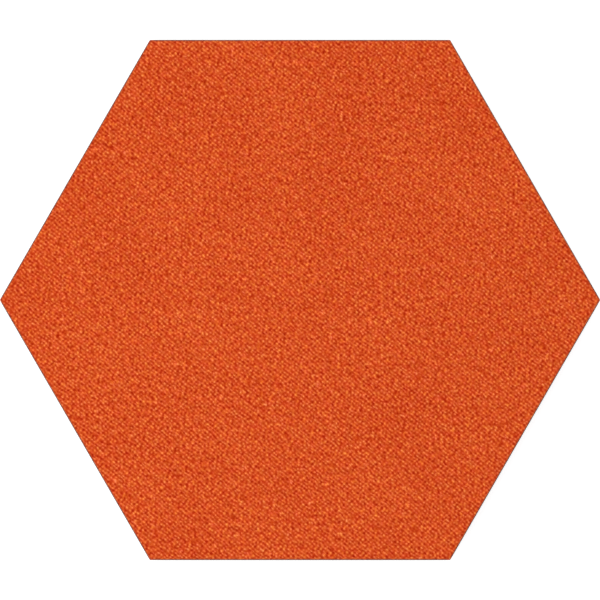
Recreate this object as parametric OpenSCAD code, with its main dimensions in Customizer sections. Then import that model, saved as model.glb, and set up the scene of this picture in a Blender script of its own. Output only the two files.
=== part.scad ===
// Hexagonal practice pad with a cloth-covered face, lying on its six rubber feet.
// +Z is up and the playing face is on top. The origin is the middle of the surface that the
// feet stand on. Two of the hexagon's corners lie on the X axis, and two of its flats face
// +Y and -Y.

/* [Pad] */
// Width across opposite flats, measured over the cloth
pad_w = 203.2; // [160:0.1:330]
// Radius of the wooden board's upright corners
corner_r = 0.3; // [0.3:0.1:5]

/* [Layers] */
// Thickness of the face cloth
cloth_t = 0.9; // [0.5:0.1:1.2]
// Thickness of the gum rubber playing layer
rubber_t = 5; // [3:0.5:10]
// Thickness of the damping foam under the rubber
foam_t = 3; // [2:0.5:8]
// Thickness of the plywood base board
board_t = 12; // [12:0.5:18]
// Thickness of the bottom cover plate
plate_t = 3; // [2:0.5:4]

/* [Cloth fixing] */
// How far the cloth is turned in under the board
hem_w = 14; // [10:0.5:18]
// Number of staples along each side
staples_per_side = 5; // [2:1:6]
// Width of a staple's crown
staple_crown = 10; // [6:0.5:11]

/* [Stand insert] */
// Radius of the stand insert's flange
flange_r = 15; // [14:0.5:18]
// Thickness of the stand insert's flange
flange_t = 1.6; // [1.4:0.1:2.5]
// Radius of the threaded hole, for an M8 stand rod
thread_r = 3.4; // [3.3:0.05:3.5]
// Length of the insert's barrel above its flange
barrel_l = 13; // [9:0.5:14]

/* [Feet] */
// Height of a rubber foot
foot_h = 6; // [5:0.5:12]
// Radius of a foot where it stands
foot_r = 7.5; // [7:0.5:10]
// Distance from the board's corner to the middle of its foot
foot_inset = 24; // [22:0.5:50]

/* [Hidden] */
$fn = 48;

// The heights of the layers, from the feet up
plate_z = foot_h;
board_z = plate_z + plate_t;
foam_z = board_z + board_t;
rubber_z = foam_z + foam_t;
cloth_z = rubber_z + rubber_t;
top_z = cloth_z + cloth_t;

// Half widths across flats of the stack inside the cloth, and of the cover plate
core_a = pad_w / 2 - cloth_t;
plate_proud = 0.53;
plate_a = pad_w / 2 + plate_proud;

// The turned-in cloth lies in a rebate, with room for the staples' crowns
staple_wire_t = 0.5;
staple_wire_w = 0.7;
staple_leg = 6;
rebate_d = cloth_t + staple_wire_t + 0.1;
rebate_w = hem_w + 2;
hem_z = board_z + rebate_d - cloth_t;
staple_a = core_a - hem_w / 2;
staple_pitch = 2 * core_a * tan(30) / (staples_per_side + 0.8);

// A raised bead round the plate's edge pinches the fold of the cloth
bead_w = 3;
bead_h = rebate_d - cloth_t;

// Wood screws: outer radius, depth of the thread, and distance between its ridges
foot_screw_r = 1.75;
insert_screw_r = 1.45;
thread_depth = 0.45;
thread_pitch = 1.4;
slot_w = 0.9;
gap = 0.05;

// A foot's place, its recess, its washer, and the screw through both
foot_circle_r = core_a / cos(30) - foot_inset;
recess_r = 4.8;
recess_d = 3.4;
washer_r = 4.4;
washer_t = 0.8;
foot_hole_r = 2;
foot_head_r = 3.2;
foot_head_h = 1.7;
foot_screw_l = 14;
foot_pilot_d = 10;
foot_edge_r = 0.8;
foot_top_r = foot_r + 1.5;

// The stand insert's barrel and its three countersunk screws
barrel_r = 6;
insert_screw_circle_r = 11;
insert_head_r = 2.9;
insert_screw_l = 12;
insert_pilot_d = 9;
mouth_chamfer = 0.6;

// Points of a hexagon with half width a across its flats and corners rounded to radius r
arc_steps = 4;
function corner_centre(a, r, i) =
    (a - r) / cos(30) * [cos(60 * i), sin(60 * i)];
function hex_points(a, r) = [
    for (i = [0:5], k = [0:arc_steps])
        let (t = 60 * i - 30 + 60 * k / arc_steps)
        corner_centre(a, r, i) + r * [cos(t), sin(t)]
];

// A hexagonal slab from height z0 to z1
module hex_slab(a, r, z0, z1) {
    translate([0, 0, z0])
        linear_extrude(height = z1 - z0)
        polygon(hex_points(a, r));
}

// A hexagonal ring: the slab of half width a, less the one that is w narrower on each side
module hex_ring(a, r, w, z0, z1) {
    difference() {
        hex_slab(a, r, z0, z1);
        hex_slab(a - w, r, z0 - 1, z1 + 1);
    }
}

// Places its children at foot number i, or at insert screw number i
module at_foot(i) {
    rotate([0, 0, 60 * (i - 1)])
        translate([foot_circle_r, 0, 0])
        children();
}

module at_insert_screw(i) {
    rotate([0, 0, 30 + 120 * (i - 1)])
        translate([insert_screw_circle_r, 0, 0])
        children();
}

// Places its children, drawn about the origin, at every staple, with X along the pad's side
module at_staples() {
    for (side = [0:5], k = [0:staples_per_side - 1])
        rotate([0, 0, 60 * side])
            translate([(k - (staples_per_side - 1) / 2) * staple_pitch, staple_a, 0])
            children();
}

// The two legs of a staple, each wider by c on every side
module staple_legs(c) {
    for (s = [-1, 1])
        translate([s * (staple_crown - staple_wire_t) / 2, 0, 0])
            translate([-staple_wire_t / 2 - c, -staple_wire_w / 2 - c, hem_z])
            cube([staple_wire_t + 2 * c, staple_wire_w + 2 * c, staple_leg - staple_wire_t + c]);
}

// A screw's ridged shank, which points up from the origin and ends in a cone
module screw_shank(r, length) {
    point_l = 2 * r;
    ridges = floor((length - point_l) / thread_pitch);
    root_r = r - thread_depth;
    thread = [
        for (i = [0:ridges - 1], p = [[root_r, 0.1], [r, 0.45], [r, 0.6], [root_r, 0.95]])
            [p[0], (i + p[1]) * thread_pitch]
    ];
    rotate_extrude()
        polygon(concat([[0, 0], [root_r, 0]], thread, [[root_r, length - point_l], [0, length]]));
}

// A cross recess that opens downwards at height z
module cross_recess(z, r, depth) {
    for (turn = [0, 90])
        rotate([0, 0, turn])
            translate([-r, -slot_w / 2, z - 1])
            cube([2 * r, slot_w, depth + 1]);
}

// The cloth: one piece over the top and sides, turned in under the board. The legs of the
// staples go through it.
module face_cloth() {
    cloth_r = corner_r + cloth_t;
    color([0.83, 0.32, 0.14])
        difference() {
            hex_slab(pad_w / 2, cloth_r, hem_z, top_z);
            hex_slab(core_a, corner_r, hem_z + cloth_t, cloth_z);
            hex_slab(core_a - hem_w, corner_r, hem_z - 1, hem_z + cloth_t + 1);
            at_staples() staple_legs(gap);
        }
}

// The gum rubber that gives the stick its rebound
module rubber_pad() {
    color([0.62, 0.47, 0.3])
        hex_slab(core_a, corner_r, rubber_z, cloth_z);
}

// The closed-cell foam that quiets the pad
module damping_foam() {
    color([0.2, 0.2, 0.21])
        hex_slab(core_a, corner_r, foam_z, rubber_z);
}

// The plywood board, with its rebate and its holes for the insert, screws and staples
module base_board() {
    color([0.82, 0.68, 0.48])
        difference() {
            hex_slab(core_a, corner_r, board_z, foam_z);
            hex_ring(core_a + 1, corner_r, rebate_w + 1, board_z - 1, board_z + rebate_d);
            translate([0, 0, board_z - 1])
                cylinder(h = board_t + 2, r = barrel_r + 2 * gap);
            for (i = [1:6])
                at_foot(i)
                translate([0, 0, board_z - 1])
                cylinder(h = foot_pilot_d + 1, r = foot_screw_r + gap);
            for (i = [1:3])
                at_insert_screw(i)
                translate([0, 0, board_z - 1])
                cylinder(h = insert_pilot_d + 1, r = insert_screw_r + gap);
            at_staples() staple_legs(gap);
        }
}

// The staples: their crowns lie on the turned-in cloth, and their legs go up into the board
module staples() {
    color([0.75, 0.76, 0.78])
        at_staples() {
            translate([-staple_crown / 2, -staple_wire_w / 2, hem_z - staple_wire_t])
                cube([staple_crown, staple_wire_w, staple_wire_t]);
            staple_legs(0);
        }
}

// The cover plate, with a raised bead round its edge and clearance holes for the screws
module bottom_plate() {
    plate_r = 0.7;
    edge_r = 0.5;
    color([0.13, 0.13, 0.14])
        difference() {
            union() {
                hex_slab(plate_a - edge_r, plate_r, plate_z, plate_z + edge_r);
                hex_slab(plate_a, plate_r, plate_z + edge_r, board_z);
                hex_ring(plate_a, plate_r, bead_w, board_z - 0.5, board_z + bead_h);
            }
            translate([0, 0, plate_z - 1])
                cylinder(h = plate_t + 3, r = barrel_r + 2 * gap);
            for (i = [1:6])
                at_foot(i)
                translate([0, 0, plate_z - 1])
                cylinder(h = plate_t + 3, r = foot_hole_r);
            for (i = [1:3])
                at_insert_screw(i)
                translate([0, 0, plate_z - 1])
                cylinder(h = plate_t + 3, r = insert_screw_r + 3 * gap);
        }
}

// The flanged insert, which takes the threaded rod of a stand from below
module stand_insert() {
    color([0.78, 0.78, 0.74])
        difference() {
            union() {
                translate([0, 0, plate_z - flange_t])
                    cylinder(h = flange_t, r = flange_r);
                translate([0, 0, plate_z - 0.1])
                    cylinder(h = barrel_l + 0.1, r = barrel_r);
            }
            translate([0, 0, plate_z - flange_t - 1])
                cylinder(h = flange_t + barrel_l + 2, r = thread_r);
            translate([0, 0, plate_z - flange_t - 0.01])
                cylinder(h = mouth_chamfer, r1 = thread_r + mouth_chamfer, r2 = thread_r);
            for (i = [1:3])
                at_insert_screw(i)
                insert_countersink();
        }
}

// The hole and countersink in the insert's flange for one screw
module insert_countersink() {
    r = insert_screw_r + 3 * gap;
    translate([0, 0, plate_z - flange_t - 1])
        cylinder(h = flange_t + 2, r = r);
    translate([0, 0, plate_z - flange_t - 0.01])
        cylinder(h = insert_head_r - r, r1 = insert_head_r, r2 = r);
}

// A countersunk screw that holds the insert's flange to the plate and the board
module insert_screw(i) {
    head_z = plate_z - flange_t + gap;
    head_h = insert_head_r - insert_screw_r - 3 * gap;
    color([0.8, 0.8, 0.78])
        at_insert_screw(i)
        difference() {
            union() {
                translate([0, 0, head_z])
                    cylinder(h = head_h, r1 = insert_head_r - 2 * gap, r2 = insert_screw_r);
                translate([0, 0, head_z + head_h])
                    screw_shank(insert_screw_r, insert_screw_l - head_h);
            }
            cross_recess(head_z, 1.8, 0.8);
        }
}

// A rubber foot: a short cone, recessed underneath for its washer and screw
module foot(i) {
    color([0.09, 0.09, 0.1])
        at_foot(i)
        rotate_extrude()
        polygon(concat(
            [[recess_r, 0]],
            [for (k = [0:4]) [
                foot_r - foot_edge_r * (1 - sin(22.5 * k)),
                foot_edge_r * (1 - cos(22.5 * k))
            ]],
            [[foot_top_r, foot_h], [foot_hole_r, foot_h], [foot_hole_r, recess_d]],
            [[recess_r, recess_d]]
        ));
}

// The steel washer at the top of a foot's recess
module foot_washer(i) {
    edge = 0.15;
    low = recess_d - washer_t;
    color([0.7, 0.71, 0.73])
        at_foot(i)
        rotate_extrude()
        polygon([
            [foot_hole_r, low], [washer_r - edge, low], [washer_r, low + edge],
            [washer_r, recess_d - edge], [washer_r - edge, recess_d], [foot_hole_r, recess_d]
        ]);
}

// The pan-head screw that holds a foot and the plate to the board
module foot_screw(i) {
    head_z = recess_d - washer_t - foot_head_h;
    color([0.74, 0.75, 0.77])
        at_foot(i)
        difference() {
            union() {
                translate([0, 0, head_z])
                    rotate_extrude()
                    polygon(concat(
                        [[0, 0]],
                        [for (t = [0:15:90]) [
                            foot_head_r - 1 + sin(t),
                            1 - cos(t)
                        ]],
                        [[foot_head_r, foot_head_h], [0, foot_head_h]]
                    ));
                translate([0, 0, head_z + foot_head_h])
                    screw_shank(foot_screw_r, foot_screw_l);
            }
            cross_recess(head_z, 2, 1.1);
        }
}

face_cloth();
rubber_pad();
damping_foam();
base_board();
staples();
bottom_plate();
stand_insert();
for (i = [1:3]) insert_screw(i);
for (i = [1:6]) foot(i);
for (i = [1:6]) foot_washer(i);
for (i = [1:6]) foot_screw(i);
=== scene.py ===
"""Looks of the hexagonal practice pad, in metres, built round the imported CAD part.

+Z is up and the playing face is on top. The cloth, its corner stitches, the rubber and the
foam are made here. Every other piece keeps its CAD shape and gets a material of its own.
"""

import math

import bpy
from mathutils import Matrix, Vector, noise


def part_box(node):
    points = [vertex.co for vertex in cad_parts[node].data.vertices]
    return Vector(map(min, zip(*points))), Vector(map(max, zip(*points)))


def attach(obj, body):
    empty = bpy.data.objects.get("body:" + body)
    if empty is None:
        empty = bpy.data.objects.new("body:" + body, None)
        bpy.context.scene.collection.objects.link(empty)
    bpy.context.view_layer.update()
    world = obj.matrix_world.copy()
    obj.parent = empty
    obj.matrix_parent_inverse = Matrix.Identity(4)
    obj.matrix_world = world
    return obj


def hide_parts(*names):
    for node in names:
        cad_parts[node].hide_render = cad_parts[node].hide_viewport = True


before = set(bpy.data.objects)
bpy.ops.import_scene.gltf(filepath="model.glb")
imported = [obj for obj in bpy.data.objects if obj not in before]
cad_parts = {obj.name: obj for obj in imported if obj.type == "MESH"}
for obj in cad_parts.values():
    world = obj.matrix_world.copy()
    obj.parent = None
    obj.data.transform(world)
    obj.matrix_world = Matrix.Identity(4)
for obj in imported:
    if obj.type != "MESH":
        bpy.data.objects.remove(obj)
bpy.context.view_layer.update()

MM = 0.001  # in metres
MM_PER_M = 1000
SIDES = 6
SIDE_TURN = 60  # degrees from one corner to the next
HALF_TURN = 30  # degrees from a corner to the middle of the next side

# The face cloth. It turns over the top edge on a small radius, and its hem is turned in.
CLEARANCE = 0.03 * MM
EDGE_R = 1.0 * MM
HEM_W = 14 * MM
cloth_low, cloth_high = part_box("face_cloth")
rubber_low, rubber_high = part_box("rubber_pad")
foam_low, foam_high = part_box("damping_foam")
CLOTH_T = cloth_high.z - rubber_high.z - CLEARANCE
CLOTH_A = cloth_high.y  # half width across flats
STAPLE_PITCH = 20.05 * MM


# Meshes


def facing(degrees):
    """The level unit vector at that angle from +X."""
    return Vector((math.cos(math.radians(degrees)), math.sin(math.radians(degrees))))


def rim_point(half_width, side, share):
    """The point that far along one side of a hexagon."""
    radius = half_width / math.cos(math.radians(HALF_TURN))
    start = radius * facing(SIDE_TURN * side)
    end = radius * facing(SIDE_TURN * side + SIDE_TURN)
    return start.lerp(end, share)


def hex_radius(x, y):
    """Half width across flats of the hexagon that (x, y) lies on."""
    middles = [facing(SIDE_TURN * side + HALF_TURN) for side in range(SIDES)]
    return max(middle.dot(Vector((x, y))) for middle in middles)


def section_arc(half_width, height, radius, start, end, steps):
    """Points of a cross section along an arc, in degrees from outwards (0) to up (90)."""
    turns = [math.radians(start + (end - start) * k / steps) for k in range(steps + 1)]
    return [(half_width + radius * math.cos(t), height + radius * math.sin(t)) for t in turns]


def run(start, end, steps):
    """Points of a cross section along a straight run, without its two ends."""
    a, b = Vector(start), Vector(end)
    return [tuple(a.lerp(b, k / steps)) for k in range(1, steps)]


def path_lengths(points):
    """How far along its line each of these points is."""
    lengths = [0.0]
    for a, b in zip(points, points[1:]):
        lengths.append(lengths[-1] + (Vector(b) - Vector(a)).length)
    return lengths


class HexLoft:
    """A closed hexagonal solid, swept round from a cross section.

    The section runs from the top's rim, down the outside and round to the rim of the last
    face. Both rims have half width rim_a, and everything further out follows round corners.
    """

    def __init__(self, rim_a, count, arc_steps):
        self.rim_a = rim_a
        self.count = count
        self.points = []
        self.angles = []
        self.faces = []
        self.flat = []
        self.columns = []
        turns = [HALF_TURN * k / arc_steps for k in range(arc_steps + 1)]
        for side in range(SIDES):
            middle = SIDE_TURN * side + HALF_TURN
            self.columns += [(side, 0, middle - HALF_TURN + t) for t in turns]
            self.columns += [(side, j, middle) for j in range(1, count)]
            self.columns += [(side, count, middle + t) for t in turns[:-1]]

    def add_point(self, place, height, angle):
        self.points.append((place.x, place.y, height))
        self.angles.append(angle)
        return len(self.points) - 1

    def add_face(self, corners, flat):
        """A face of these points, less any repeated one. flat has their places laid flat."""
        kept = [k for k in range(len(corners)) if corners[k] != corners[k - 1]]
        if len(kept) > 2:
            self.faces.append([corners[k] for k in kept])
            self.flat.append([flat[k] for k in kept])

    def rim(self, half_width, height):
        """One point at each place along a sharp-cornered hexagon, for every column."""
        spots = [
            self.add_point(rim_point(half_width, side, j / self.count), height, None)
            for side in range(SIDES)
            for j in range(self.count)
        ]
        return [spots[(side * self.count + j) % len(spots)] for side, j, _ in self.columns]

    def ring(self, half_width, height):
        """The points of one ring of the wall, for every column."""
        out = half_width - self.rim_a
        if out <= 0:
            return self.rim(half_width, height)
        return [
            self.add_point(
                rim_point(self.rim_a, side, j / self.count) + out * facing(angle), height, angle
            )
            for side, j, angle in self.columns
        ]

    def flat_place(self, side, j, angle, half_width, reach):
        """Where a point of a side's flap lies when the cloth is laid flat."""
        middle = SIDE_TURN * side + HALF_TURN
        normal, along = facing(middle), facing(middle + 90)
        place = rim_point(min(half_width, self.rim_a), side, j / self.count).dot(along)
        out = max(half_width - self.rim_a, 0) * math.radians(angle - middle)
        return (self.rim_a + reach) * normal + (place + out) * along

    def cap(self, rim, height, upwards):
        """A level face of triangles inside a rim."""
        ends = [column for column in range(len(self.columns)) if self.starts_place(column)]
        rings = [[self.add_point(Vector((0, 0)), height, None)]]
        for k in range(1, self.count):
            rings.append(
                [
                    self.add_point(
                        rim_point(self.rim_a * k / self.count, side, j / k), height, None
                    )
                    for side in range(SIDES)
                    for j in range(k)
                ]
            )
        rings.append([rim[column] for column in ends])
        for k in range(self.count):
            inner, outer = rings[k], rings[k + 1]
            for side in range(SIDES):
                for j in range(k + 1):
                    here = inner[(side * k + j) % len(inner)]
                    out = outer[side * (k + 1) + j]
                    out_next = outer[(side * (k + 1) + j + 1) % len(outer)]
                    triangles = [(here, out, out_next)]
                    if j < k:
                        here_next = inner[(side * k + j + 1) % len(inner)]
                        triangles.append((here, out_next, here_next))
                    for corners in triangles:
                        corners = corners if upwards else corners[::-1]
                        self.add_face(corners, [self.points[p][:2] for p in corners])

    def starts_place(self, column):
        """Whether a column is the first at its place on the rim."""
        place = self.columns[column][:2]
        earlier = self.columns[column - 1][:2]
        return place[1] < self.count and place != earlier

    def wall(self, rings, section, reaches):
        """The faces between each ring and the next."""
        total = len(self.columns)
        for k in range(len(rings) - 1):
            for column in range(total):
                after = (column + 1) % total
                side, j, angle = self.columns[column]
                side_after, j_after, angle_after = self.columns[after]
                if side_after != side:
                    j_after = self.count
                if j_after != j:
                    angle_after = angle
                if after == 0:
                    angle_after = SIDE_TURN * SIDES
                spots = [(k, j, angle), (k + 1, j, angle)]
                spots += [(k + 1, j_after, angle_after), (k, j_after, angle_after)]
                corners = [rings[k][column], rings[k + 1][column]]
                corners += [rings[k + 1][after], rings[k][after]]
                flat = [
                    self.flat_place(side, place, turn, section[n][0], reaches[n])
                    for n, place, turn in spots
                ]
                self.add_face(corners, flat)

    def build(self, name, section, reaches):
        """The mesh object. reaches says how far past the rim each point of the section is."""
        rings = [self.ring(half_width, height) for half_width, height in section]
        self.cap(rings[0], section[0][1], upwards=True)
        self.wall(rings, section, reaches)
        self.cap(rings[-1], section[-1][1], upwards=False)
        piece = mesh_object(name, self.points, self.faces)
        layer = piece.data.uv_layers.new(name="cloth_flat")
        spots = [spot for face in self.flat for spot in face]
        for loop, spot in zip(layer.data, spots):
            loop.uv = (spot[0], spot[1])
        return piece


def mesh_object(name, points, faces):
    """A smooth-shaded mesh object in the scene."""
    mesh = bpy.data.meshes.new(name)
    mesh.from_pydata(points, [], faces)
    mesh.shade_smooth()
    piece = bpy.data.objects.new(name, mesh)
    bpy.context.scene.collection.objects.link(piece)
    return piece


# Nodes


def srgb(red, green, blue):
    """A colour given as 0 to 255 on screen, as the linear colour that a node takes."""
    shares = [c / 255 for c in (red, green, blue)]
    return tuple(c / 12.92 if c <= 0.04045 else ((c + 0.055) / 1.055) ** 2.4 for c in shares)


class Nodes:
    """Adds nodes to one tree, in calls short enough to read."""

    def __init__(self, tree):
        self.tree = tree
        tree.nodes.clear()

    def feed(self, socket, value):
        if isinstance(value, bpy.types.NodeSocket):
            self.tree.links.new(value, socket)
        else:
            socket.default_value = value

    def add(self, kind, *values, **settings):
        """A node of that kind. values go to its inputs in order."""
        node = self.tree.nodes.new(kind)
        for name, value in settings.items():
            setattr(node, name, value)
        for socket, value in zip(node.inputs, values):
            self.feed(socket, value)
        return node

    def math(self, operation, *values, clamp=False):
        node = self.add("ShaderNodeMath", *values, operation=operation, use_clamp=clamp)
        return node.outputs[0]

    def vector(self, operation, *values):
        node = self.add("ShaderNodeVectorMath", *values, operation=operation)
        numeric = operation in ("DOT_PRODUCT", "LENGTH")
        return node.outputs["Value" if numeric else "Vector"]

    def split(self, vector):
        return self.add("ShaderNodeSeparateXYZ", vector).outputs

    def join(self, x, y, z):
        return self.add("ShaderNodeCombineXYZ", x, y, z).outputs[0]

    def specks(self, noise_value, above, strength):
        """That strength where the noise is above a limit, and 0 elsewhere."""
        return self.math("MULTIPLY", self.math("GREATER_THAN", noise_value, above), strength)

    def spread(self, value, low, high):
        """value from 0 to 1, spread over low to high."""
        return self.math("MULTIPLY_ADD", value, high - low, low)

    def place(self):
        """The place on the part, in mm."""
        found = self.add("ShaderNodeTexCoord").outputs["Object"]
        return self.vector("MULTIPLY", found, (MM_PER_M, MM_PER_M, MM_PER_M))

    def noise(self, place, size, detail=2.0, flat=False):
        """Smooth noise with features of about that size, as a node with Fac and Color."""
        node = self.add("ShaderNodeTexNoise", noise_dimensions="2D" if flat else "3D")
        self.feed(node.inputs["Vector"], place)
        self.feed(node.inputs["Scale"], 1 / size)
        self.feed(node.inputs["Detail"], detail)
        return node.outputs

    def mix(self, share, a, b, blend="MIX"):
        node = self.add("ShaderNodeMix", share, data_type="RGBA", blend_type=blend)
        self.feed(node.inputs[6], as_colour(a))
        self.feed(node.inputs[7], as_colour(b))
        return node.outputs[2]

    def ramp(self, share, stops):
        """A colour for each share, from stops of (share, colour)."""
        node = self.add("ShaderNodeValToRGB", share)
        elements = node.color_ramp.elements
        elements[0].position, elements[-1].position = stops[0][0], stops[-1][0]
        elements[0].color, elements[-1].color = as_colour(stops[0][1]), as_colour(stops[-1][1])
        for position, colour in stops[1:-1]:
            elements.new(position).color = as_colour(colour)
        return node.outputs[0]


def as_colour(value):
    """A colour with its alpha. A socket passes through."""
    return value if isinstance(value, bpy.types.NodeSocket) else (*value, 1)


def new_material(name):
    """A material, and the Nodes that fill it."""
    material = bpy.data.materials.new(name)
    material.use_nodes = True
    return material, Nodes(material.node_tree)


def surface(nodes, colour, roughness, height=None, depth=0.0, **constants):
    """The shader and output of a material. height from 0 to 1 stands depth metres high."""
    shader = nodes.add("ShaderNodeBsdfPrincipled")
    nodes.feed(shader.inputs["Base Color"], colour)
    nodes.feed(shader.inputs["Roughness"], roughness)
    for name, value in constants.items():
        shader.inputs[name.replace("_", " ")].default_value = value
    if height is not None:
        bump = nodes.add("ShaderNodeBump")
        bump.inputs["Distance"].default_value = depth
        nodes.feed(bump.inputs["Height"], height)
        nodes.feed(shader.inputs["Normal"], bump.outputs[0])
    nodes.add("ShaderNodeOutputMaterial", shader.outputs[0])


# The crepe cloth. Its warp yarns run along Y and its weft yarns along X. Lengths are in mm.

WARP_PITCH = 1.05  # from one warp yarn to the next
WEFT_PITCH = 0.873
SKIP_SHARE = 0.03  # share of the crossings that break the checkerboard
SHIFT = 0.49  # how far a float may lie off its crossing, in pitches
FLOAT_WARP = 0.72  # half size of a float across the warp, in pitches
FLOAT_WEFT = 0.80  # half size of a float across the weft, in pitches
SLANT = 0.38  # how far a float leans to the upper left: 1 is a line at 45 degrees
TRENCH = 1.2  # how deep the ring round a float sinks; the colour ramp also paints this ring as shade
SPREAD = 0.33  # how much the floats differ in height
WEFT_UP = -0.53  # height where the weft is up, with the warp's floats at 1
WANDER = (0.74, 0.84, 0)  # how far the yarns wander, in pitches
WANDER_SIZE = 3.4  # length of one bend of a wandering yarn
TWIST = 1.4  # how much the lumps of the crepe yarn add to the height
TWIST_SIZE = 1.12  # size of those lumps
STREAK = 1.15  # how much short streaks along the warp add to the height
STREAK_SIZE = (1.0, 2.2, 1.0)  # their width and length
STREAK_LEAN = -15  # degrees they are turned from the warp, which takes their tops to the right
STREAK_START = (50, 30, 0)  # keeps the streaks from following the lumps
GAIN = 0.363  # how far up the colour ramp a height of 1 goes
MIDDLE = 0.39  # where on the colour ramp a height of 0 lies
GOLD = -0.62  # how much less blue a high or light place is
TINT_SIZE = 2.8  # size of the patches that differ in tint
OWN_TINT = 0.5  # how much a patch's own tint counts beside its height
BLUE_TINT = (-0.03, -0.23, 0.72)  # how red, green and blue change from gold to pink
RED_TINT = (-0.09, 0.18, 0.14)  # how they change from red to yellow
BROAD = 0.3  # how much the shade changes slowly over the face
BROAD_SIZE = 30.0
GAP_ROUGHNESS = 0.95
FLOAT_ROUGHNESS = 0.78
SHEEN = 0.03
SPECULAR = 0.04
BUMP = 0.08  # height of the weave's bump
EDGE_SHADE_STRENGTH = 0.40  # strength of the painted shade on the folded edge and down the sides
# colour of the painted shade along the folded top edge
EDGE_SHADE_COLOUR = srgb(126, 74, 48)
EDGE_SHADE_BAND = 5 * EDGE_R / MM  # how far below the top the painted shade has come down to its least


def crossing_group():
    """Height that one crossing of the weave gives at a place, both in pitches."""
    tree = bpy.data.node_groups.new("weave_crossing", "ShaderNodeTree")
    tree.interface.new_socket("Place", in_out="INPUT", socket_type="NodeSocketVector")
    tree.interface.new_socket("Crossing", in_out="INPUT", socket_type="NodeSocketVector")
    tree.interface.new_socket("Height", in_out="OUTPUT", socket_type="NodeSocketFloat")
    nodes = Nodes(tree)
    place, crossing = nodes.add("NodeGroupInput").outputs[:2]

    draw = nodes.add("ShaderNodeTexWhiteNoise", crossing, noise_dimensions="2D")
    draws = nodes.split(draw.outputs["Color"])
    odd = nodes.math("FRACT", nodes.vector("DOT_PRODUCT", crossing, (0.5, 0.5, 0)))
    skip = nodes.math("LESS_THAN", draws[0], SKIP_SHARE)
    checker = nodes.math("MULTIPLY", odd, 2)
    warp_up = nodes.math("ABSOLUTE", nodes.math("SUBTRACT", checker, skip))

    shift = nodes.join(draws[2], draws[0], 0.0)
    shift = nodes.vector("MULTIPLY_ADD", shift, (SHIFT, SHIFT, 0), crossing)
    middle = (0.5 - SHIFT / 2, 0.5 - SHIFT / 2, 0)
    centre = nodes.vector("ADD", shift, middle)
    away = nodes.split(nodes.vector("SUBTRACT", place, centre))
    across = nodes.math("DIVIDE", away[0], FLOAT_WARP)
    along = nodes.math("DIVIDE", away[1], FLOAT_WEFT)
    slant = nodes.math("MULTIPLY", nodes.math("MULTIPLY", across, along), 2 * SLANT)
    reach = nodes.math("MULTIPLY_ADD", across, across, slant)
    reach = nodes.math("MULTIPLY_ADD", along, along, reach)
    inside = nodes.math("SUBTRACT", 1, reach, clamp=True)
    dome = nodes.math("MULTIPLY", inside, inside)
    dome = nodes.math("MULTIPLY", dome, nodes.math("MULTIPLY_ADD", reach, -TRENCH, 1))

    share = nodes.spread(warp_up, WEFT_UP, 1)
    strength = nodes.spread(draws[1], 1 - SPREAD, 1 + SPREAD)
    height = nodes.math("MULTIPLY", dome, nodes.math("MULTIPLY", share, strength))
    nodes.add("NodeGroupOutput", height)
    return tree


def centred(nodes, noise_value):
    """Noise from 0 to 1, moved to lie about 0."""
    return nodes.math("SUBTRACT", noise_value, 0.5)


def weave_height(nodes, flat):
    """Height of the weave at a place on the flat cloth, as about -1 to 1, and its grain.

    The height adds up the four crossings nearest to the place, after the yarns' wandering has
    moved it. The grain is the part of it that comes from the yarns' own lumps and streaks.
    """
    wander = nodes.noise(flat, WANDER_SIZE, detail=0, flat=True)["Color"]
    wander = nodes.vector("SUBTRACT", wander, (0.5, 0.5, 0.5))
    place = nodes.vector("MULTIPLY", flat, (1 / WARP_PITCH, 1 / WEFT_PITCH, 0))
    place = nodes.vector("MULTIPLY_ADD", wander, WANDER, place)
    first = nodes.vector("FLOOR", nodes.vector("SUBTRACT", place, (0.5, 0.5, 0)))
    group = crossing_group()
    total = 0.0
    for step in ((0, 0, 0), (1, 0, 0), (0, 1, 0), (1, 1, 0)):
        crossing = nodes.vector("ADD", first, step)
        node = nodes.add("ShaderNodeGroup", place, crossing, node_tree=group)
        total = nodes.math("ADD", total, node.outputs[0])
    twist = centred(nodes, nodes.noise(flat, TWIST_SIZE, detail=0, flat=True)["Fac"])
    grain = nodes.math("MULTIPLY", twist, TWIST)
    lean = (0, 0, math.radians(STREAK_LEAN))
    along = nodes.add(
        "ShaderNodeMapping", flat, STREAK_START, lean, STREAK_SIZE, vector_type="TEXTURE"
    )
    streak = centred(nodes, nodes.noise(along.outputs[0], size=1, detail=0, flat=True)["Fac"])
    grain = nodes.math("MULTIPLY_ADD", streak, STREAK, grain)
    return nodes.math("ADD", total, grain), grain


def painted_edge_shade(nodes, colour):
    """The colour, darkened by painted shade where the cloth turns over the top edge, and a
    little on its sides.
    """
    height = nodes.split(nodes.place())[2]
    below = nodes.math("SUBTRACT", cloth_high.z / MM, height)
    share = nodes.math("DIVIDE", below, EDGE_SHADE_BAND, clamp=True)
    # Painted shade: strongest just past the turn of the top edge, weaker down the sides.
    strengths = [(0.01, 0.0), (0.07, 0.9), (0.14, 1.0), (0.35, 0.45), (1.0, 0.2)]
    wear_and_shade = nodes.ramp(share, [(down, (grey, grey, grey)) for down, grey in strengths])
    return nodes.mix(nodes.math("MULTIPLY", wear_and_shade, EDGE_SHADE_STRENGTH), colour, EDGE_SHADE_COLOUR)


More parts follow.
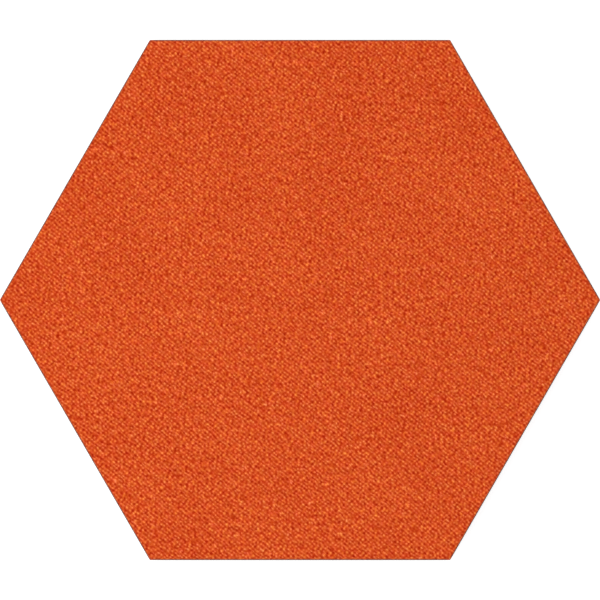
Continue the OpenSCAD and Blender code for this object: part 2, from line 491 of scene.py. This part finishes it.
def crepe_cloth():
    """Orange crepe-weave cloth: warp floats stand bright over darker, redder gaps, which are
    partly the weft's own dye and partly painted shade in the hollows.
    """
    material, nodes = new_material("crepe_cloth")
    flat = nodes.add("ShaderNodeUVMap", uv_map="cloth_flat").outputs[0]
    flat = nodes.vector("MULTIPLY", flat, (MM_PER_M, MM_PER_M, 0))
    weave, grain = weave_height(nodes, flat)
    broad = centred(nodes, nodes.noise(flat, BROAD_SIZE, detail=2, flat=True)["Fac"])
    slow = nodes.math("MULTIPLY", broad, BROAD)
    # The colour ramp follows the weave's height: low places get darker, partly from the weft's
    # own dye and partly from painted shade in the hollows round the floats.
    light = nodes.math("ADD", slow, weave)
    share = nodes.math("MULTIPLY_ADD", light, GAIN, MIDDLE, clamp=True)
    colour = nodes.ramp(
        share,
        [
            (0.0, srgb(166, 34, 2)),
            (0.25, srgb(189, 59, 14)),
            (0.5, srgb(211, 83, 37.5)),
            (0.75, srgb(234, 109, 61)),
            (1.0, srgb(252, 135, 90)),
        ],
    )
    tints = nodes.noise(flat, TINT_SIZE, detail=0, flat=True)["Color"]
    tints = nodes.split(nodes.vector("SUBTRACT", tints, (0.5, 0.5, 0.5)))
    blue = nodes.math("MULTIPLY", tints[0], OWN_TINT)
    blue = nodes.math("MULTIPLY_ADD", nodes.math("ADD", grain, slow), GOLD, blue)
    tint = (1, 1, 1)
    for amount, change in ((blue, BLUE_TINT), (tints[1], RED_TINT)):
        amounts = nodes.join(amount, amount, amount)
        tint = nodes.vector("MULTIPLY_ADD", amounts, change, tint)
    colour = nodes.mix(1.0, colour, tint, blend="MULTIPLY")
    # Painted shade along the folded top edge and down the sides.
    colour = painted_edge_shade(nodes, colour)
    roughness = nodes.spread(share, GAP_ROUGHNESS, FLOAT_ROUGHNESS)
    surface(
        nodes,
        colour,
        roughness,
        height=weave,
        depth=BUMP * MM,
        Specular_IOR_Level=SPECULAR,
        Sheen_Weight=SHEEN,
        Sheen_Roughness=0.45,
    )
    return material


def seam_thread():
    """Twisted polyester thread, dyed to go with the cloth."""
    material, nodes = new_material("seam_thread")
    wave = nodes.add("ShaderNodeTexWave", nodes.place(), bands_direction="DIAGONAL")
    nodes.feed(wave.inputs["Scale"], 1.6)
    nodes.feed(wave.inputs["Distortion"], 0.6)
    twist = wave.outputs["Fac"]
    # Darker in the grooves of the twist, lighter on its ridges: painted shade.
    colour = nodes.ramp(twist, [(0, srgb(168, 50, 18)), (1, srgb(226, 98, 48))])
    surface(nodes, colour, 0.55, height=twist, depth=0.05 * MM, Specular_IOR_Level=0.2)
    return material


# The other materials


def gum_rubber():
    """Tan gum rubber with a dusty bloom."""
    material, nodes = new_material("gum_rubber")
    place = nodes.place()
    cloud = nodes.noise(place, size=18, detail=4)["Fac"]
    speck = nodes.noise(place, size=0.7, detail=3)["Fac"]
    colour = nodes.ramp(cloud, [(0.3, srgb(166, 122, 82)), (0.7, srgb(188, 146, 102))])
    dust = nodes.specks(speck, above=0.62, strength=0.35)
    colour = nodes.mix(dust, colour, srgb(214, 192, 160))
    roughness = nodes.spread(cloud, 0.55, 0.8)
    surface(nodes, colour, roughness, height=speck, depth=0.04 * MM)
    return material


def closed_cell_foam():
    """Dark closed-cell foam, with its cut cells showing."""
    material, nodes = new_material("closed_cell_foam")
    place = nodes.place()
    wall_gain = 3
    cells = nodes.add("ShaderNodeTexVoronoi", feature="DISTANCE_TO_EDGE")
    nodes.feed(cells.inputs["Vector"], place)
    nodes.feed(cells.inputs["Scale"], 2.2)
    wall = nodes.math("MULTIPLY", cells.outputs["Distance"], wall_gain, clamp=True)
    # Darker towards the middle of each cut cell: painted shade in the cells' hollows.
    colour = nodes.ramp(wall, [(0, srgb(78, 78, 82)), (1, srgb(38, 38, 41))])
    surface(nodes, colour, 0.9, height=nodes.math("SUBTRACT", 1, wall), depth=0.12 * MM)
    return material


def birch_plywood():
    """Birch plywood: long grain on its faces, and veneers at its edges, by height."""
    material, nodes = new_material("birch_plywood")
    place = nodes.place()
    along_grain = nodes.vector("MULTIPLY", place, (0.06, 1.6, 1))
    grain = nodes.noise(along_grain, size=3.0, detail=5)["Fac"]
    along_pores = nodes.vector("MULTIPLY", place, (0.12, 4, 1))
    pores = nodes.noise(along_pores, size=0.8, detail=2)["Fac"]
    face = nodes.ramp(
        grain,
        [(0.3, srgb(206, 172, 124)), (0.55, srgb(222, 192, 146)), (0.75, srgb(232, 206, 164))],
    )
    veneer_pair = 2.6
    veneer = nodes.math("FRACT", nodes.math("DIVIDE", nodes.split(place)[2], veneer_pair))
    crosswise = nodes.math("GREATER_THAN", veneer, 0.5)
    edge = nodes.mix(crosswise, srgb(218, 188, 142), srgb(158, 112, 68))
    normal = nodes.split(nodes.add("ShaderNodeNewGeometry").outputs["Normal"])
    level = nodes.math("GREATER_THAN", nodes.math("ABSOLUTE", normal[2]), 0.7)
    colour = nodes.mix(level, edge, face)
    dark_pore = nodes.specks(pores, above=0.66, strength=0.3)
    colour = nodes.mix(dark_pore, colour, srgb(140, 98, 60))
    surface(nodes, colour, nodes.spread(grain, 0.5, 0.72), height=pores, depth=0.05 * MM)
    return material


def hairlines(nodes, place, stretch):
    """A mask of a few fine scratches, which run along the axis that stretch makes small."""
    line_w, patch_limit = 0.006, 0.6
    field = nodes.noise(nodes.vector("MULTIPLY", place, stretch), size=2.5, detail=1)["Fac"]
    near = nodes.math("ABSOLUTE", centred(nodes, field))
    line = nodes.math("LESS_THAN", near, line_w)
    aside = nodes.vector("ADD", place, (40, 90, 0))
    patch = nodes.noise(aside, size=14, detail=2)["Fac"]
    return nodes.math("MULTIPLY", line, nodes.math("GREATER_THAN", patch, patch_limit))


def textured_plastic():
    """Charcoal moulded plastic with a fine spark-eroded grain."""
    material, nodes = new_material("textured_plastic")
    place = nodes.place()
    pits = nodes.noise(place, size=0.55, detail=3)["Fac"]
    cloud = nodes.noise(place, size=25, detail=3)["Fac"]
    colour = nodes.ramp(cloud, [(0.3, srgb(44, 43, 43)), (0.7, srgb(54, 52, 51))])
    # Lighter on the grain's raised tops, darker in its pits: painted shade.
    colour = nodes.mix(nodes.spread(pits, -0.35, 0.95), colour, srgb(64, 62, 61))
    scratch = hairlines(nodes, place, (0.03, 1, 1))
    scratch = nodes.math("MAXIMUM", scratch, hairlines(nodes, place, (1, 0.04, 1)))
    colour = nodes.mix(nodes.math("MULTIPLY", scratch, 0.35), colour, srgb(96, 94, 92))
    roughness = nodes.spread(pits, 0.42, 0.72)
    surface(nodes, colour, roughness, height=pits, depth=0.14 * MM, Specular_IOR_Level=0.45)
    return material


def moulded_rubber():
    """Black rubber of the feet, paler where it is rubbed."""
    material, nodes = new_material("moulded_rubber")
    place = nodes.place()
    worn_h = 0.5
    fine = nodes.noise(place, size=0.4, detail=2)["Fac"]
    cloud = nodes.noise(place, size=5, detail=4)["Fac"]
    colour = nodes.ramp(cloud, [(0.35, srgb(27, 27, 28)), (0.7, srgb(41, 41, 42))])
    low = nodes.math("LESS_THAN", nodes.split(place)[2], worn_h)
    wear_and_shade = nodes.math("MULTIPLY", low, nodes.spread(cloud, 0.1, 0.5))
    colour = nodes.mix(wear_and_shade, colour, srgb(74, 72, 70))
    surface(nodes, colour, nodes.spread(cloud, 0.68, 0.88), height=fine, depth=0.03 * MM)
    return material


def plated_steel(name, tint, shade, roughness):
    """Plated steel with fine turned rings and a faintly clouded coating."""
    material, nodes = new_material(name)
    place = nodes.place()
    cloud = nodes.noise(place, size=3.5, detail=5)["Fac"]
    x, y, z = nodes.split(place)[:3]
    radius = nodes.vector("LENGTH", nodes.join(x, y, 0.0))
    rings = nodes.noise(nodes.join(radius, z, 0.0), size=0.22, detail=2)["Fac"]
    colour = nodes.ramp(cloud, [(0.25, shade), (0.75, tint)])
    rough = nodes.math("ADD", nodes.spread(rings, -0.12, 0.12), roughness)
    rough = nodes.math("ADD", nodes.spread(cloud, -0.08, 0.08), rough)
    surface(nodes, colour, rough, height=rings, depth=0.02 * MM, Metallic=1.0)
    return material


# Pieces


def cloth_section():
    """The cloth's cross section in two runs, the outer face and back along the inner face."""
    rim_a = CLOTH_A - EDGE_R
    fold_r = CLOTH_T + CLEARANCE
    fold_a = CLOTH_A - fold_r
    fold_z = cloth_low.z + fold_r
    edge_z = cloth_high.z - EDGE_R
    hem_a = CLOTH_A - CLOTH_T - HEM_W
    hem_z = cloth_low.z
    bite = 0.2 * MM  # how far the hem's cut edge is rounded off
    side_steps, hem_steps = 14, 7

    outer = section_arc(rim_a, edge_z, EDGE_R, 90, 0, 8)
    outer += run((CLOTH_A, edge_z), (CLOTH_A, fold_z), side_steps)
    outer += section_arc(fold_a, fold_z, fold_r, 0, -90, 6)
    outer += run((rim_a, hem_z), (hem_a + bite, hem_z), hem_steps)
    outer += [(hem_a + bite, hem_z), (hem_a, hem_z + bite)]
    inner = [(hem_a, hem_z + CLOTH_T - bite), (hem_a + bite, hem_z + CLOTH_T)]
    inner += run(inner[-1], (rim_a, hem_z + CLOTH_T), hem_steps)
    inner += section_arc(fold_a, fold_z, fold_r - CLOTH_T, -90, 0, 3)
    inner += run((CLOTH_A - CLOTH_T, fold_z), (CLOTH_A - CLOTH_T, edge_z), side_steps)
    inner += section_arc(rim_a, edge_z, EDGE_R - CLOTH_T, 0, 90, 4)
    return outer, inner


def settle_cloth(piece, angles):
    """Moves the cloth's points a little: the core swells it, staples and stitches pull it."""
    height = cloth_high.z - cloth_low.z
    swell_h, swell_size, swell_power = 0.09 * MM, 26 * MM, 8
    ripple_depth, ripple_size = 0.07 * MM, 17 * MM
    staple_depth, staple_from, staple_gain = 0.10 * MM, 0.55, 4
    seam_depth, seam_w, seam_gain = 0.34 * MM, 0.16 * MM, 2.2
    outer_band = 0.5 * MM  # tells the cloth's outer face from its inner one
    for vertex, angle in zip(piece.data.vertices, angles):
        x, y, z = vertex.co
        down = (cloth_high.z - z) / height
        if angle is None:
            if down < 0.5:
                swell = 0.5 + noise.noise(Vector((x, y, 0)) / swell_size)
                flat = 1 - (hex_radius(x, y) / CLOTH_A) ** swell_power
                vertex.co.z += swell_h * swell * max(flat, 0)
            continue
        out = facing(angle)
        side = math.floor(angle / SIDE_TURN)
        along = facing(SIDE_TURN * side + HALF_TURN + 90).dot(Vector((x, y)))
        fade = math.sin(math.pi * min(max(down, 0), 1))
        pull = 0.5 + 0.5 * math.cos(2 * math.pi * along / STAPLE_PITCH)
        move = ripple_depth * fade * noise.noise(Vector((x, y, z)) / ripple_size)
        move -= staple_depth * pull * max(down - staple_from, 0) * (1 - down) * staple_gain
        if hex_radius(x, y) > CLOTH_A - outer_band:
            off = EDGE_R * math.radians((angle + HALF_TURN) % SIDE_TURN - HALF_TURN)
            move -= seam_depth * math.exp(-((off / seam_w) ** 2)) * min(1, seam_gain * fade)
        vertex.co.x += move * out.x
        vertex.co.y += move * out.y


def make_cloth():
    """The cloth in one piece: over the top, down the sides and turned in underneath."""
    outer, inner = cloth_section()
    back = path_lengths(inner[::-1])[::-1]
    loft = HexLoft(CLOTH_A - EDGE_R, count=40, arc_steps=6)
    piece = loft.build("face_cloth_woven", outer + inner, path_lengths(outer) + back)
    settle_cloth(piece, loft.angles)
    return piece


def tube(path, radius, sides=8):
    """Points and faces of a round tube with narrowed, closed ends along a path."""
    points, faces = [], []
    last = len(path) - 1
    end_narrowing = 0.45
    for k, spot in enumerate(path):
        ahead = path[min(k + 1, last)] - path[max(k - 1, 0)]
        across = ahead.cross(Vector((0, 0, 1))).normalized()
        up = across.cross(ahead).normalized()
        narrow = radius * (end_narrowing if k in (0, last) else 1)
        for n in range(sides):
            turn = 2 * math.pi * n / sides
            points.append(spot + narrow * (math.cos(turn) * across + math.sin(turn) * up))
    for k in range(last):
        for n in range(sides):
            after = (n + 1) % sides
            low, high = k * sides, (k + 1) * sides
            faces.append([low + n, high + n, high + after, low + after])
    faces.append(list(range(sides)))
    faces.append([last * sides + n for n in range(sides)][::-1])
    return points, faces


def make_stitches():
    """Ladder stitches that close the seam at each corner. Their ends dip into the cloth."""
    thread_r, spacing, reach = 0.17 * MM, 3.2 * MM, 1.5 * MM
    margin, lift, dip, slant = 2.4 * MM, 0.06 * MM, 0.36 * MM, 0.5 * MM
    steps = 12
    low, high = cloth_low.z + margin, cloth_high.z - margin
    rows = int((high - low) / spacing) + 1
    points, faces = [], []
    for side in range(SIDES):
        corner = rim_point(CLOTH_A - EDGE_R, side, 0)
        for row in range(rows):
            z = (low + high) / 2 + (row - (rows - 1) / 2) * spacing
            path = []
            for k in range(steps + 1):
                share = 2 * k / steps - 1
                turn = max(-HALF_TURN, min(HALF_TURN, math.degrees(reach * share / EDGE_R)))
                straight = reach * share - EDGE_R * math.radians(turn)
                angle = SIDE_TURN * side + turn
                out = (EDGE_R + lift - dip * share**6) * facing(angle)
                out += straight * facing(angle + 90)
                path.append(Vector((*(corner + out), z + slant * share)))
            more_points, more_faces = tube(path, thread_r)
            faces += [[len(points) + p for p in face] for face in more_faces]
            points += more_points
    return mesh_object("corner_stitches", points, faces)


def slab_section(half_width, low, high, edge_r, waist):
    """The cross section of a soft slab with round edges, drawn in by waist half way down."""
    rim_a = half_width - edge_r
    points = section_arc(rim_a, high - edge_r, edge_r, 90, 0, 4)
    steps = 5
    for k in range(1, steps):
        share = k / steps
        z = high - edge_r - share * (high - low - 2 * edge_r)
        points.append((half_width - waist * math.sin(math.pi * share), z))
    return points + section_arc(rim_a, low + edge_r, edge_r, 0, -90, 4)


def make_slab(name, box, edge_r, waist):
    """A slab of rubber or foam in the space of its CAD solid."""
    low, high = box
    section = slab_section(high.y - CLEARANCE, low.z, high.z, edge_r, waist)
    loft = HexLoft(section[0][0], count=24, arc_steps=3)
    return loft.build(name, section, path_lengths(section))


def paint(piece, material):
    """Gives every slot of a piece that material."""
    if not piece.material_slots:
        piece.data.materials.append(material)
    for slot in piece.material_slots:
        slot.material = material


def make_pieces():
    """Every piece with its material and its body. A piece that stands for a CAD part hides that
    part.
    """
    thread = seam_thread()
    cloth = make_cloth()
    paint(cloth, crepe_cloth())
    stitches = make_stitches()
    paint(stitches, thread)
    rubber = make_slab("rubber_slab", (rubber_low, rubber_high), 0.5 * MM, 0.15 * MM)
    paint(rubber, gum_rubber())
    foam = make_slab("foam_slab", (foam_low, foam_high), 0.4 * MM, 0.35 * MM)
    paint(foam, closed_cell_foam())

    for piece, slot, node in (
        (cloth, "face_cloth", "face_cloth"),
        (stitches, "face_cloth", None),
        (rubber, "gum_rubber", "rubber_pad"),
        (foam, "foam", "damping_foam"),
    ):
        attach(piece, "root")
        if node:
            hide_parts(node)


def paint_cad_nodes():
    """New materials for the pieces that keep their CAD shape."""
    zinc = plated_steel(
        "zinc_plating", tint=srgb(212, 212, 208), shade=srgb(196, 197, 196), roughness=0.30
    )
    galvanised = plated_steel(
        "galvanised_wire", tint=srgb(200, 202, 206), shade=srgb(178, 181, 186), roughness=0.38
    )
    finishes = {
        "base_board": birch_plywood(),
        "staples": galvanised,
        "bottom_plate": textured_plastic(),
        "stand_insert": zinc,
        "insert_screw": zinc,
        "foot_washer": zinc,
        "foot_screw": zinc,
        "foot": moulded_rubber(),
    }
    for name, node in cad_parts.items():
        kind = name.rstrip("0123456789").rstrip("_")
        if kind in finishes:
            paint(node, finishes[kind])


# Stage

ROOM_LIGHT = 0.62  # the world's strength
FLOOR_GLOW = 0.62  # added to the floor, to keep it white under the soft light


def make_floor():
    """A pale floor, open from below so that the underside can be looked at."""
    half = 14.0
    corners = [(-half, -half, 0), (half, -half, 0), (half, half, 0), (-half, half, 0)]
    floor = mesh_object("floor", corners, [[0, 1, 2, 3]])
    material, nodes = new_material("pale_floor")
    paper = nodes.add("ShaderNodeBsdfDiffuse")
    grain = nodes.noise(nodes.place(), size=40, detail=3)["Fac"]
    colour = nodes.ramp(grain, [(0.3, (0.80, 0.80, 0.80)), (0.7, (0.84, 0.84, 0.84))])
    nodes.feed(paper.inputs["Color"], colour)
    glow = nodes.add("ShaderNodeEmission", (1, 1, 1, 1), FLOOR_GLOW)
    lit = nodes.add("ShaderNodeAddShader", paper.outputs[0], glow.outputs[0])
    back = nodes.add("ShaderNodeNewGeometry").outputs["Backfacing"]
    clear = nodes.add("ShaderNodeBsdfTransparent")
    mixed = nodes.add("ShaderNodeMixShader", back, lit.outputs[0], clear.outputs[0])
    nodes.add("ShaderNodeOutputMaterial", mixed.outputs[0])
    paint(floor, material)


def add_light(name, place, size, power):
    """A round soft light that faces the part. size is its width, and power is in watts."""
    light = bpy.data.lights.new(name, "AREA")
    light.shape = "DISK"
    light.size = size
    light.energy = power
    lamp = bpy.data.objects.new(name, light)
    lamp.location = place
    lamp.rotation_euler = (-Vector(place)).to_track_quat("-Z", "Y").to_euler()
    bpy.context.scene.collection.objects.link(lamp)


def light_scene():
    """A bright even room, with a soft key close overhead and a fill from behind."""
    world = bpy.data.worlds.new("room")
    world.use_nodes = True
    nodes = Nodes(world.node_tree)
    room = nodes.add("ShaderNodeBackground", (1, 1, 1, 1), ROOM_LIGHT)
    nodes.add("ShaderNodeOutputWorld", room.outputs[0])
    bpy.context.scene.world = world
    add_light("key", place=(-0.22, -0.09, 0.8), size=0.6, power=2.88)
    add_light("fill", place=(0.5, 1.4, 1.9), size=1.6, power=9.2)


def add_camera():
    """A long lens straight above the pad, with its corners at the frame's left and right."""
    distance = 6.0
    frame_w = 234.8 * MM
    camera = bpy.data.cameras.new("camera")
    camera.sensor_width = 36
    camera.lens = camera.sensor_width * distance / frame_w
    camera.clip_start, camera.clip_end = 0.1, 30
    holder = bpy.data.objects.new("camera", camera)
    holder.location = (0, 0, cloth_high.z + distance)
    bpy.context.scene.collection.objects.link(holder)
    bpy.context.scene.camera = holder


bpy.context.scene.view_settings.view_transform = "Standard"
add_camera()
light_scene()
make_floor()
paint_cad_nodes()
make_pieces()
